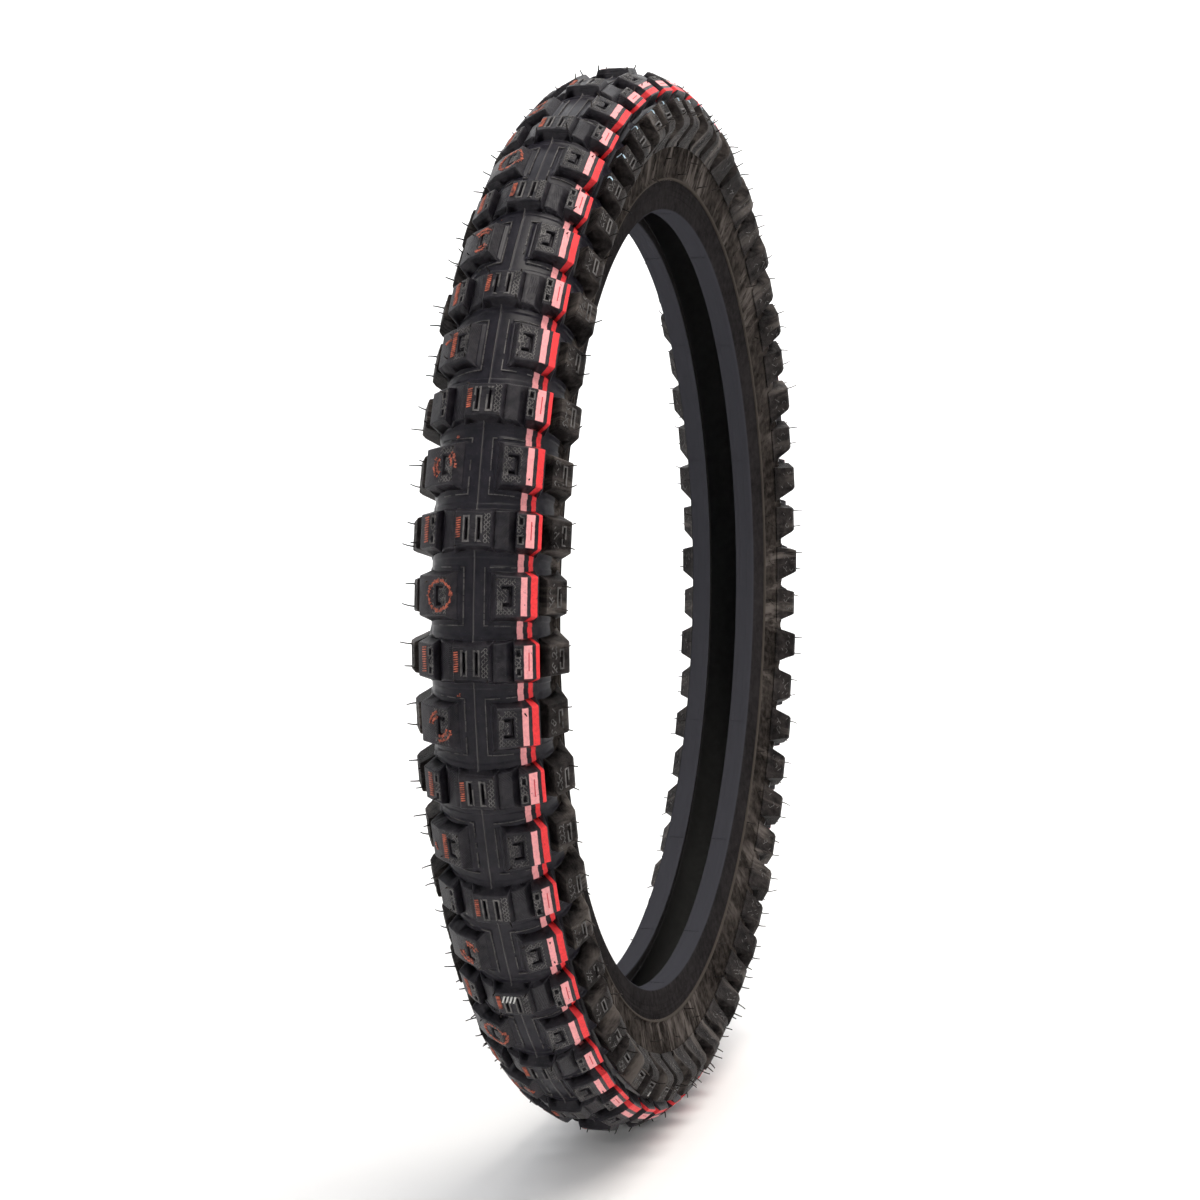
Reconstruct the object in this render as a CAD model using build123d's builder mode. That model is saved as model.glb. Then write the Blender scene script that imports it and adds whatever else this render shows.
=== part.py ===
from build123d import *
from math import sin, cos, tan, sqrt, atan2, asin, degrees, radians
import os

# Off-road motorcycle front tyre, bare (no rim, no tube), standing upright.
# Millimetres. Wheel axis along +Y, +Z up, origin at the wheel centre.
# "left" is the +Y half, "right" is the -Y half.

os.makedirs("parts", exist_ok=True)

# ---------------------------------------------------------------- driving dimensions
BEAD_R = 266.7            # bead seat radius (21 inch rim)
TOE_Y = 10.8              # bead toe, distance from the centre plane
HEEL_Y = 22.7             # bead heel
HEEL_TOP = (26.0, 275.0)  # where the heel curve runs into the bead flank (y, r)
HEEL_MID = (HEEL_Y + 2.25, BEAD_R + 3.15)   # point half-way along the heel curve
RIM_LINE = (28.6, 287.0)  # rim line on the bead flank (y, r)

FLOOR_C = 319.5           # centre radius of the round tread floor section
FLOOR_RHO = 35.6          # radius of the tread floor section
SIDE_ANGLE = -14.0        # section angle where the floor arc runs into the straight sidewall

CAV_C = 316.6             # centre radius of the round cavity section
CAV_RHO = 31.0            # radius of the cavity section
LINER_T = 1.0             # inner liner
PLY_T = 0.9               # each carcass ply
CORE_RHO = 3.2            # bead core
CORE_Y = 16.75            # bead core centre from the centre plane
CHAFER_T = 0.9            # chafer under the bead
UP_ANGLE = 14.0           # lean of the ply turn-up from the radial direction
TURN_UP_INNER_R = 289.0   # end of the inner ply's turn-up
TURN_UP_OUTER_R = 291.5   # end of the outer ply's turn-up

WIRE_D = 1.1              # bead wire
WIRE_STEP = 1.35          # spacing of the bead wires
WIRE_COLS = 4
WIRE_ROWS = 3

BREAKER_T = 1.0           # fabric breaker under the tread
BREAKER_ANGLE = 48.0      # its edge, from the crown
BASE_C = 318.3            # tread base outer face: section centre and radius
BASE_RHO = 34.4
BASE_ANGLE = 75.0         # edge of the tread base, from the crown
JOINT_ANGLE = 82.0        # edge of the tread band, from the crown
JOINT_IN_ANGLE = 12.0     # inner end of the sidewall's arc against the casing, section angle

PITCHES = 30              # pattern repeats round the tyre
PITCH = 360 / PITCHES
ROW_A = PITCH / 2         # rows with a centre knob, turned from the top
ROW_B = 0.0               # rows with two inner blocks

SHOULDER_A_TIP = 47.4     # half-width at the shoulder knobs of the A rows
SHOULDER_B_TIP = 45.8     # and of the B rows
SHOULDER_LEAN = 66.0      # their outward direction, from the radial one

# ---------------------------------------------------------------- section geometry
PLIES_T = LINER_T + 2 * PLY_T                   # cavity face to bead core
CORE_R = BEAD_R + CHAFER_T + 2 * PLY_T + CORE_RHO
LOOP = CORE_RHO + PLIES_T                       # loop radius of the cavity face round the core


def polar(angle, rho, centre=(0.0, 0.0)):
    """Point at an angle from the +Y direction round a centre of the section."""
    return (centre[0] + rho * cos(radians(angle)), centre[1] + rho * sin(radians(angle)))


# the straight stretch between the cavity arc and the bead loop (crossed tangent)
_dy, _dr = CORE_Y, CORE_R - CAV_C
_dist = sqrt(_dy * _dy + _dr * _dr)
_lean = degrees(asin((CAV_RHO + PLIES_T + CORE_RHO) / _dist))
TAN_ANGLE = degrees(atan2(_dr, _dy)) + (90 - _lean)    # section angle of the tangent point


def flank(d):
    """Tangent point on the cavity arc and on the bead loop, d outside the cavity face."""
    top = polar(TAN_ANGLE, CAV_RHO + d, (0, CAV_C))
    low = polar(TAN_ANGLE + 180, LOOP - d, (CORE_Y, CORE_R))
    return top, low


def turn_up(d, end_r):
    """Foot and end of the turn-up line, d outside the cavity face."""
    foot = polar(-UP_ANGLE, LOOP - d, (CORE_Y, CORE_R))
    return foot, (foot[0] + (end_r - foot[1]) * tan(radians(UP_ANGLE)), end_r)


def loop_mid(d):
    """Lowest stretch of the bead loop, d outside the cavity face."""
    return polar((TAN_ANGLE + 180 - UP_ANGLE + 360) / 2, LOOP - d, (CORE_Y, CORE_R))


def crown(d):
    return (0, CAV_C + CAV_RHO + d)


def arc_mid(d, a0=90.0, a1=None):
    a1 = TAN_ANGLE if a1 is None else a1
    return polar((a0 + a1) / 2, CAV_RHO + d, (0, CAV_C))


def at_r(p, q, r):
    """Point on the line p-q at radius r."""
    t = (r - p[1]) / (q[1] - p[1])
    return (p[0] + t * (q[0] - p[0]), r)


def ply_section(d0, d1, end_r):
    """Half section of a carcass ply that runs from the crown round the bead core."""
    t0, l0 = flank(d0)
    t1, l1 = flank(d1)
    f0, e0 = turn_up(d0, end_r)
    f1, e1 = turn_up(d1, end_r)
    with BuildSketch() as s:
        with BuildLine():
            ThreePointArc(crown(d0), arc_mid(d0), t0)
            Line(t0, l0)
            ThreePointArc(l0, loop_mid(d0), f0)
            Polyline(f0, e0, e1, f1)
            ThreePointArc(f1, loop_mid(d1), l1)
            Line(l1, t1)
            ThreePointArc(t1, arc_mid(d1), crown(d1))
            Line(crown(d1), crown(d0))
        make_face()
    return s.sketch


def liner_section():
    t0, l0 = flank(0)
    t1, l1 = flank(LINER_T)
    with BuildSketch() as s:
        with BuildLine():
            ThreePointArc(crown(0), arc_mid(0), t0)
            Polyline(t0, l0, l1, t1)
            ThreePointArc(t1, arc_mid(LINER_T), crown(LINER_T))
            Line(crown(LINER_T), crown(0))
        make_face()
    return s.sketch


D_CORE = PLIES_T
_t, _l = flank(D_CORE)
_f = turn_up(D_CORE, TURN_UP_OUTER_R)[0]
# filler apex: where the turn-up line meets the main ply
_k1 = (_t[0] - _l[0]) / (_t[1] - _l[1])
_k2 = tan(radians(UP_ANGLE))
APEX_R = (_f[0] - _l[0] + _k1 * _l[1] - _k2 * _f[1]) / (_k1 - _k2)
APEX = (_l[0] + _k1 * (APEX_R - _l[1]), APEX_R)


def filler_section():
    with BuildSketch() as s:
        with BuildLine():
            Polyline(_l, APEX, _f)
            ThreePointArc(_f, polar((TAN_ANGLE + 180 - UP_ANGLE) / 2, CORE_RHO, (CORE_Y, CORE_R)), _l)
        make_face()
    return s.sketch


def core_section(with_wires):
    with BuildSketch() as s:
        with Locations((CORE_Y, CORE_R)):
            Circle(CORE_RHO)
            if with_wires:
                with GridLocations(WIRE_STEP, WIRE_STEP, WIRE_COLS, WIRE_ROWS):
                    Circle(WIRE_D / 2, mode=Mode.SUBTRACT)
    return s.sketch


SIDE_TOP = polar(SIDE_ANGLE, FLOOR_RHO, (0, FLOOR_C))
JOINT = polar(90 - JOINT_ANGLE, FLOOR_RHO, (0, FLOOR_C))


def inside_sections():
    return [
        liner_section(),
        ply_section(LINER_T, LINER_T + PLY_T, TURN_UP_INNER_R),
        ply_section(LINER_T + PLY_T, PLIES_T, TURN_UP_OUTER_R),
        filler_section(),
        core_section(False),
    ]


def chafer_section():
    """Bead skin: toe, base, heel and flank up to the rim line."""
    l0, l1 = flank(0)[1], flank(LINER_T)[1]
    f1, e1 = turn_up(LINER_T, RIM_LINE[1])
    with BuildSketch() as s:
        with BuildLine():
            Polyline(l1, l0, (TOE_Y, BEAD_R), (HEEL_Y, BEAD_R))
            ThreePointArc((HEEL_Y, BEAD_R), HEEL_MID, HEEL_TOP)
            Polyline(HEEL_TOP, RIM_LINE, e1, f1)
            ThreePointArc(f1, loop_mid(LINER_T), l1)
        make_face()
    return s.sketch


def sidewall_section():
    mid = LINER_T + 1.5 * PLY_T
    t, l = flank(mid)
    j_in = polar(JOINT_IN_ANGLE, CAV_RHO + mid, (0, CAV_C))
    with BuildSketch() as s:
        with BuildLine():
            Line(RIM_LINE, SIDE_TOP)
            ThreePointArc(SIDE_TOP, polar((SIDE_ANGLE + 90 - JOINT_ANGLE) / 2, FLOOR_RHO, (0, FLOOR_C)), JOINT)
            Line(JOINT, j_in)
            ThreePointArc(j_in, arc_mid(mid, JOINT_IN_ANGLE), t)
            Polyline(t, at_r(t, l, RIM_LINE[1]), RIM_LINE)
        make_face()
        add(inside_sections(), mode=Mode.SUBTRACT)
        add(fan(JOINT_ANGLE), mode=Mode.SUBTRACT)
    return s.sketch


def fan(angle):
    """Everything within an angle of the crown, seen from the floor section's centre."""
    far = FLOOR_RHO + 25
    with BuildSketch() as s:
        with BuildLine():
            Polyline((0, FLOOR_C), (0, FLOOR_C + far), (far, FLOOR_C + far),
                     (far, FLOOR_C + far / tan(radians(angle))), (0, FLOOR_C))
        make_face()
    return s.sketch


def disc(centre_r, rho):
    """Right half of a round section."""
    with BuildSketch() as s:
        with Locations((0, centre_r)):
            Circle(rho)
        with Locations((-rho, centre_r)):
            Rectangle(2 * rho, 2 * rho + 1, mode=Mode.SUBTRACT)
    return s.sketch


def crown_section(part):
    """Half section of the breaker, the tread base or the tread band."""
    ply_face = disc(CAV_C, CAV_RHO + PLIES_T)
    with BuildSketch() as breaker:
        add(disc(CAV_C, CAV_RHO + PLIES_T + BREAKER_T))
        add(fan(BREAKER_ANGLE), mode=Mode.INTERSECT)
        add(ply_face, mode=Mode.SUBTRACT)
    with BuildSketch() as base:
        add(disc(BASE_C, BASE_RHO))
        add(fan(BASE_ANGLE), mode=Mode.INTERSECT)
        add(ply_face, mode=Mode.SUBTRACT)
        add(breaker.sketch, mode=Mode.SUBTRACT)
    with BuildSketch() as band:
        add(disc(FLOOR_C, FLOOR_RHO))
        add(fan(JOINT_ANGLE), mode=Mode.INTERSECT)
        add(ply_face, mode=Mode.SUBTRACT)
        add(breaker.sketch, mode=Mode.SUBTRACT)
        add(base.sketch, mode=Mode.SUBTRACT)
    return {"breaker": breaker, "base": base, "band": band}[part].sketch


# ---------------------------------------------------------------- casing, full rings
with BuildPart() as inner_liner:
    with BuildSketch(Plane.YZ):
        add(liner_section())
        mirror(about=Plane.YZ)
    revolve(axis=Axis.Y)

with BuildPart() as carcass_ply_inner:
    with BuildSketch(Plane.YZ):
        add(ply_section(LINER_T, LINER_T + PLY_T, TURN_UP_INNER_R))
        mirror(about=Plane.YZ)
    revolve(axis=Axis.Y)

with BuildPart() as carcass_ply_outer:
    with BuildSketch(Plane.YZ):
        add(ply_section(LINER_T + PLY_T, PLIES_T, TURN_UP_OUTER_R))
        mirror(about=Plane.YZ)
    revolve(axis=Axis.Y)

with BuildPart() as breaker_strip:
    with BuildSketch(Plane.YZ):
        add(crown_section("breaker"))
        mirror(about=Plane.YZ)
    revolve(axis=Axis.Y)

with BuildPart() as tread_base:
    with BuildSketch(Plane.YZ):
        add(crown_section("base"))
        mirror(about=Plane.YZ)
    revolve(axis=Axis.Y)

with BuildPart() as tread_band:
    with BuildSketch(Plane.YZ):
        add(crown_section("band"))
        mirror(about=Plane.YZ)
    revolve(axis=Axis.Y)

# ---------------------------------------------------------------- bead region, left side first
with BuildPart() as bead_wires_left:
    with BuildSketch(Plane.YZ):
        with Locations((CORE_Y, CORE_R)):
            with GridLocations(WIRE_STEP, WIRE_STEP, WIRE_COLS, WIRE_ROWS):
                Circle(WIRE_D / 2)
    revolve(axis=Axis.Y)

with BuildPart() as bead_core_left:
    with BuildSketch(Plane.YZ):
        add(core_section(True))
    revolve(axis=Axis.Y)

with BuildPart() as bead_filler_left:
    with BuildSketch(Plane.YZ):
        add(filler_section())
    revolve(axis=Axis.Y)

with BuildPart() as chafer_left:
    with BuildSketch(Plane.YZ):
        add(chafer_section())
    revolve(axis=Axis.Y)

with BuildPart() as sidewall_left:
    with BuildSketch(Plane.YZ):
        add(sidewall_section())
    revolve(axis=Axis.Y)

RIM_RIB_FOOT = 2.6        # raised rim line: width of its foot, width of its top and height
RIM_RIB_TOP = 1.2
RIM_RIB_H = 1.1
_side_dir = atan2(SIDE_TOP[0] - RIM_LINE[0], SIDE_TOP[1] - RIM_LINE[1])


def on_side(along, out):
    """Point on the straight sidewall, measured up from the rim line and outwards."""
    return (RIM_LINE[0] + along * sin(_side_dir) + out * cos(_side_dir),
            RIM_LINE[1] + along * cos(_side_dir) - out * sin(_side_dir))


_slope = (RIM_RIB_FOOT - RIM_RIB_TOP) / 2
with BuildPart() as rim_line_left:
    with BuildSketch(Plane.YZ):
        with BuildLine():
            Polyline(on_side(0, 0), on_side(RIM_RIB_FOOT, 0), on_side(RIM_RIB_FOOT - _slope, RIM_RIB_H),
                     on_side(_slope, RIM_RIB_H), close=True)
        make_face()
    revolve(axis=Axis.Y)

# ---------------------------------------------------------------- knob tools
BLANK_HALF = 24.0         # half-length of a knob's blank, along the tyre
BLANK_UNDER = 8.0         # how far the tapered cutter reaches under the floor
BLANK_OVER = 6.0          # and over the knob's top
CUT_THROUGH = 60.0        # reach of a cutter that goes right through

# solid ring with exactly the outer contour of tread band and sidewalls: knobs are cut back to it
with BuildPart() as contour_ring:
    with BuildSketch(Plane.YZ):
        with BuildLine():
            Line(RIM_LINE, SIDE_TOP)
            ThreePointArc(SIDE_TOP, polar((SIDE_ANGLE + 90) / 2, FLOOR_RHO, (0, FLOOR_C)), (0, FLOOR_C + FLOOR_RHO))
            Polyline((0, FLOOR_C + FLOOR_RHO), (0, RIM_LINE[1]), RIM_LINE)
        make_face()
        mirror(about=Plane.YZ)
    revolve(axis=Axis.Y)


def face_plane(y, r, lean):
    """Plane on a sloping knob face, its normal leaning outwards from the radial direction."""
    return Plane(origin=(0, y, r), x_dir=(1, 0, 0), z_dir=(0, sin(radians(lean)), cos(radians(lean))))


def lean_plane(tilt):
    """Plane through the axis direction X and the knob's own outward direction."""
    t = radians(tilt)
    return Plane(origin=(0, 0, FLOOR_C), x_dir=(1, 0, 0), z_dir=(0, -cos(t), sin(t)))


def knob(section, tilt, base, top, h_top):
    """Knob on top of the tyre: cross section (y, r), tapered along the tyre from
    base (x from, x to) on the floor to top (x from, x to) at height h_top."""
    slope0 = (top[0] - base[0]) / h_top
    slope1 = (top[1] - base[1]) / h_top
    low, high = FLOOR_RHO - BLANK_UNDER, FLOOR_RHO + h_top + BLANK_OVER

    def edge(x, slope, h):
        return (x + slope * (h - FLOOR_RHO), h)

    with BuildPart() as k:
        with BuildSketch(Plane.YZ):
            with BuildLine():
                Polyline(*section, close=True)
            make_face()
        extrude(amount=BLANK_HALF, both=True)
        with BuildSketch(lean_plane(tilt)):
            with BuildLine():
                Polyline(edge(base[0], slope0, low), edge(base[1], slope1, low),
                         edge(base[1], slope1, high), edge(base[0], slope0, high), close=True)
            make_face()
        extrude(amount=CUT_THROUGH, both=True, mode=Mode.INTERSECT)
        add(contour_ring.part, mode=Mode.SUBTRACT)
    return k.part


def turned(piece, start):
    """The same piece once per pitch."""
    return [piece.rotate(Axis.Y, -(start + i * PITCH)) for i in range(PITCHES)]


# ---------------------------------------------------------------- A rows: centre knob
CENTRE_TOP_R = 362.0
CENTRE_H = 7.0            # height over the floor
CENTRE_HALF = 10.6        # half-width of its top
CENTRE_FOOT = 13.2        # half-width of its foot
CENTRE_TOP_L = 18.8       # length of its top, along the tyre
CENTRE_FOOT_L = 24.0
SLIT_Y = 3.7              # its two slits
SLIT_W = 1.5
SLIT_L = 12.4
SLIT_DEPTH = 4.2

centre_raw = knob(
    [(-CENTRE_FOOT, 351.0), (-CENTRE_HALF, 361.1), (-5.4, 361.8), (5.4, 361.8), (CENTRE_HALF, 361.1),
     (CENTRE_FOOT, 351.0), (0, 346.0)],
    0, (-CENTRE_FOOT_L / 2, CENTRE_FOOT_L / 2), (-CENTRE_TOP_L / 2, CENTRE_TOP_L / 2), CENTRE_H)

with BuildPart() as centre_one:
    add(centre_raw)
    with BuildSketch(Plane.XY.offset(CENTRE_TOP_R)):
        with Locations((0, SLIT_Y), (0, -SLIT_Y)):
            SlotOverall(SLIT_L, SLIT_W)
    extrude(amount=-SLIT_DEPTH, mode=Mode.SUBTRACT)

with BuildPart() as centre_knobs:
    add(turned(centre_one.part, ROW_A))

# ---------------------------------------------------------------- A rows: intermediate knobs
MID_TOP_L = 18.4
MID_FOOT_L = 25.0
MID_LEAN = 38.0           # outward direction, from the radial one
MID_H = 9.0
MID_SECTION = [(20.6, 346.5), (23.8, 355.6), (28.6, 352.8), (36.2, 346.2), (28.0, 332.6), (18.0, 338.0)]
POCKET_L = 3.6            # two small pockets in the inner top face
POCKET_W = 2.0
POCKET_CORNER = 0.6
POCKET_X = 5.2
POCKET_DEPTH = 2.4
POCKET_OVER = 6.0         # the pocket cutter's reach above the face
with BuildPart() as intermediate_one:
    add(knob(MID_SECTION, MID_LEAN, (-MID_FOOT_L / 2, MID_FOOT_L / 2), (-MID_TOP_L / 2, MID_TOP_L / 2), MID_H))
    with BuildSketch(face_plane(26.2, 354.6, 30.0).offset(-POCKET_DEPTH)):
        with Locations((-POCKET_X, 0), (POCKET_X, 0)):
            RectangleRounded(POCKET_L, POCKET_W, POCKET_CORNER)
    extrude(amount=POCKET_DEPTH + POCKET_OVER, mode=Mode.SUBTRACT)

with BuildPart() as intermediate_knobs_left:
    add(turned(intermediate_one.part, ROW_A))

# ---------------------------------------------------------------- A rows: tie bars
TIE_TOP_L = 20.0
TIE_FOOT_L = 24.6
TIE_LEAN = 20.0
TIE_H = 6.0
TIE_SECTION = [(9.0, 357.9), (14.0, 357.2), (19.0, 354.0), (21.2, 350.4), (23.6, 344.0), (9.0, 344.0)]
with BuildPart() as tie_one:
    add(knob(TIE_SECTION, TIE_LEAN, (-TIE_FOOT_L / 2, TIE_FOOT_L / 2), (-TIE_TOP_L / 2, TIE_TOP_L / 2), TIE_H))
    add(centre_raw, mode=Mode.SUBTRACT)
    add(intermediate_one.part, mode=Mode.SUBTRACT)

with BuildPart() as tie_bars_left:
    add(turned(tie_one.part, ROW_A))

# ---------------------------------------------------------------- B rows: inner blocks
BLOCK_TOP_L = 21.6
BLOCK_FOOT_L = 27.6
SIPE_W = 1.8              # bracket-shaped sipe in the top face, open towards the crown
SIPE_L = 11.2
SIPE_ARM = 4.2
SIPE_DEPTH = 3.0
BLOCK_LEAN = 34.0
BLOCK_H = 8.4
BLOCK_SECTION = [(8.4, 353.9), (10.6, 355.6), (14.3, 359.8), (28.6, 352.8), (35.6, 346.6), (27.6, 333.0),
                 (12.0, 338.0)]
with BuildPart() as inner_one:
    add(knob(BLOCK_SECTION, BLOCK_LEAN, (-BLOCK_FOOT_L / 2, BLOCK_FOOT_L / 2),
             (-BLOCK_TOP_L / 2, BLOCK_TOP_L / 2), BLOCK_H))
    with BuildSketch(face_plane(20.0, 357.0, 26.0)):
        with Locations((0, SIPE_ARM / 2)):
            Rectangle(SIPE_L, SIPE_W)
        with Locations((-(SIPE_L - SIPE_W) / 2, 0), ((SIPE_L - SIPE_W) / 2, 0)):
            Rectangle(SIPE_W, SIPE_ARM + SIPE_W)
    extrude(amount=SIPE_DEPTH, both=True, mode=Mode.SUBTRACT)

with BuildPart() as inner_knobs_left:
    add(turned(inner_one.part, ROW_B))

# ---------------------------------------------------------------- shoulder knobs, both rows
SHOULDER_TOP = (-8.4, 8.2)     # top length: the leading flank is steeper than the trailing one
SHOULDER_FOOT = (-10.8, 12.6)
SHOULDER_H = 11.6
SLOT_L = 9.0              # short slot in the outer top edge
SLOT_W = 1.2
SLOT_DEPTH = 3.0


def shoulder(tip):
    """Shoulder knob whose outermost corner is at the half-width tip."""
    section = [(31.9, 335.4), (tip - 7.0, 341.2), (tip, 326.9), (tip - 0.6, 322.9), (36.6, 311.8),
               (33.5, 305.0), (24.0, 330.0)]
    with BuildPart() as k:
        add(knob(section, SHOULDER_LEAN, SHOULDER_FOOT, SHOULDER_TOP, SHOULDER_H))
        with BuildSketch(face_plane(tip - 2.6, 332.3, SHOULDER_LEAN)):
            SlotOverall(SLOT_L, SLOT_W)
        extrude(amount=SLOT_DEPTH, both=True, mode=Mode.SUBTRACT)
    return k.part


shoulder_a_one = shoulder(SHOULDER_A_TIP)
shoulder_b_one = shoulder(SHOULDER_B_TIP)

with BuildPart() as shoulder_knobs_a_left:
    add(turned(shoulder_a_one, ROW_A))

with BuildPart() as shoulder_knobs_b_left:
    add(turned(shoulder_b_one, ROW_B))

# ---------------------------------------------------------------- slanted ribs on the sidewall
RIB_L = 13.0
RIB_W = 1.8
RIB_H = 0.9
RIB_SLANT = 24.0
RIB_SINK = 2.0            # its blank starts this far inside, then is cut back to the contour
RIB_RAISE = 4.0           # its middle above the middle of the sidewall
_mid = ((RIM_LINE[0] + SIDE_TOP[0]) / 2 + 1.0, (RIM_LINE[1] + SIDE_TOP[1]) / 2 + RIB_RAISE)
rib_plane = Plane(origin=(0, _mid[0] - RIB_SINK, _mid[1]), x_dir=(1, 0, 0),
                  z_dir=(0, cos(_side_dir), -sin(_side_dir)))
with BuildPart() as rib_one:
    with BuildSketch(rib_plane):
        SlotOverall(RIB_L, RIB_W, rotation=90 + RIB_SLANT)
    extrude(amount=RIB_SINK + RIB_H)
    add(contour_ring.part, mode=Mode.SUBTRACT)
    add(shoulder_a_one, mode=Mode.SUBTRACT)

with BuildPart() as sidewall_ribs_left:
    add(turned(rib_one.part, ROW_A))
    add(turned(rib_one.part, ROW_B))

# ---------------------------------------------------------------- vent spews
SPEW_D = 0.9              # thin rubber hairs left by the mould's vents
SPEW_LEN = 5.2
SPEW_ROOT = 1.5           # blank under the surface, cut away again
SPEW_X = (-6.6, 6.4)      # along a shoulder knob
SPEW_R = 330.0            # on a shoulder knob, radius and distance in from its tip
SPEW_IN = 1.4
SIDE_SPEW = (30.6, 295.0, 22.0)   # on the sidewall: y, radius, distance along from the A row


def spew(y, r, x, tilt, root):
    """Thin hair that stands on a knob or on the sidewall."""
    with BuildPart() as k:
        foot = Plane(origin=(x, y, r), x_dir=(1, 0, 0), z_dir=(0, sin(radians(tilt)), cos(radians(tilt))))
        with BuildSketch(foot.offset(-SPEW_ROOT)):
            Circle(SPEW_D / 2)
        extrude(amount=SPEW_LEN + SPEW_ROOT)
        add(root, mode=Mode.SUBTRACT)
    return k.part


spews_a = [spew(SHOULDER_A_TIP - SPEW_IN, SPEW_R, x, SHOULDER_LEAN, shoulder_a_one) for x in SPEW_X]
spews_b = [spew(SHOULDER_B_TIP - SPEW_IN, SPEW_R, x, SHOULDER_LEAN, shoulder_b_one) for x in SPEW_X]
spews_side = [spew(*SIDE_SPEW, 90 + degrees(_side_dir), contour_ring.part)]

with BuildPart() as vent_spews_left:
    for _one in spews_a + spews_side:
        add(turned(_one, ROW_A))
    for _one in spews_b:
        add(turned(_one, ROW_B))

# ---------------------------------------------------------------- right side: mirror images
def other_side(piece):
    return piece.mirror(Plane.XZ)


def ring_other_side(piece):
    """A full ring turned end for end is its own mirror image."""
    return piece.rotate(Axis.Z, 180)


with BuildPart() as bead_wires_right:
    add(ring_other_side(bead_wires_left.part))
with BuildPart() as bead_core_right:
    add(ring_other_side(bead_core_left.part))
with BuildPart() as bead_filler_right:
    add(ring_other_side(bead_filler_left.part))
with BuildPart() as chafer_right:
    add(ring_other_side(chafer_left.part))
with BuildPart() as sidewall_right:
    add(ring_other_side(sidewall_left.part))
with BuildPart() as rim_line_right:
    add(ring_other_side(rim_line_left.part))
with BuildPart() as intermediate_knobs_right:
    add(other_side(intermediate_knobs_left.part))
with BuildPart() as tie_bars_right:
    add(other_side(tie_bars_left.part))
with BuildPart() as inner_knobs_right:
    add(other_side(inner_knobs_left.part))
with BuildPart() as shoulder_knobs_a_right:
    add(other_side(shoulder_knobs_a_left.part))
with BuildPart() as shoulder_knobs_b_right:
    add(other_side(shoulder_knobs_b_left.part))
with BuildPart() as sidewall_ribs_right:
    add(other_side(sidewall_ribs_left.part))
with BuildPart() as vent_spews_right:
    add(other_side(vent_spews_left.part))

# ---------------------------------------------------------------- export
nodes = {
    "inner_liner": inner_liner,
    "carcass_ply_inner": carcass_ply_inner,
    "carcass_ply_outer": carcass_ply_outer,
    "breaker_strip": breaker_strip,
    "tread_base": tread_base,
    "tread_band": tread_band,
    "bead_wires_left": bead_wires_left,
    "bead_wires_right": bead_wires_right,
    "bead_core_left": bead_core_left,
    "bead_core_right": bead_core_right,
    "bead_filler_left": bead_filler_left,
    "bead_filler_right": bead_filler_right,
    "chafer_left": chafer_left,
    "chafer_right": chafer_right,
    "sidewall_left": sidewall_left,
    "sidewall_right": sidewall_right,
    "rim_line_left": rim_line_left,
    "rim_line_right": rim_line_right,
    "centre_knobs": centre_knobs,
    "tie_bars_left": tie_bars_left,
    "tie_bars_right": tie_bars_right,
    "intermediate_knobs_left": intermediate_knobs_left,
    "intermediate_knobs_right": intermediate_knobs_right,
    "inner_knobs_left": inner_knobs_left,
    "inner_knobs_right": inner_knobs_right,
    "shoulder_knobs_a_left": shoulder_knobs_a_left,
    "shoulder_knobs_a_right": shoulder_knobs_a_right,
    "shoulder_knobs_b_left": shoulder_knobs_b_left,
    "shoulder_knobs_b_right": shoulder_knobs_b_right,
    "sidewall_ribs_left": sidewall_ribs_left,
    "sidewall_ribs_right": sidewall_ribs_right,
    "vent_spews_left": vent_spews_left,
    "vent_spews_right": vent_spews_right,
}
for name, node in nodes.items():
    node.part.label = name
    export_step(node.part, "parts/" + name + ".step")
    print(name, len(node.part.solids()), "solids", round(node.part.volume / 1000, 2), "cm3")
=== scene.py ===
"""Bare off-road motorcycle tyre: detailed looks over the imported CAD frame, in metres."""
import math
import random

import bmesh
import bpy
from mathutils import Matrix, Vector


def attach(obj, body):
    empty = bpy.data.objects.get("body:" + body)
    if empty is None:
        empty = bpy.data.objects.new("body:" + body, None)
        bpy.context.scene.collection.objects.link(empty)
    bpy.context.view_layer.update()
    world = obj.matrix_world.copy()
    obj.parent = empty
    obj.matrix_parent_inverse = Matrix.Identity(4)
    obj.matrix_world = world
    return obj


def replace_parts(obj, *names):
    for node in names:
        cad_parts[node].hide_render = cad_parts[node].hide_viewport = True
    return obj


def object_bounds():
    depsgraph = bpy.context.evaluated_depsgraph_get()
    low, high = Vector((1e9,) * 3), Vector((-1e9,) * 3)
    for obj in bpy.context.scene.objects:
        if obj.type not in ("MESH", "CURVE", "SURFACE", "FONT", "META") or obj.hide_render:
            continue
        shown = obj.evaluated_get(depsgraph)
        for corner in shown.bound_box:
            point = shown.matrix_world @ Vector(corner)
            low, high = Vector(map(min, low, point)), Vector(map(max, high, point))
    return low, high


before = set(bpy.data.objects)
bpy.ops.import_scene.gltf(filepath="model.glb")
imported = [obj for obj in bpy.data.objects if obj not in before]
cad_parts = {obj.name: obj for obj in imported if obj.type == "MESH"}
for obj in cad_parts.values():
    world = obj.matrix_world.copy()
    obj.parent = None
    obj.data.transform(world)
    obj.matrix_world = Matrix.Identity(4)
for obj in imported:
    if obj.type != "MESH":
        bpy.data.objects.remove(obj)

cad_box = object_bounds()
random.seed(21)
MM = 0.001

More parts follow.
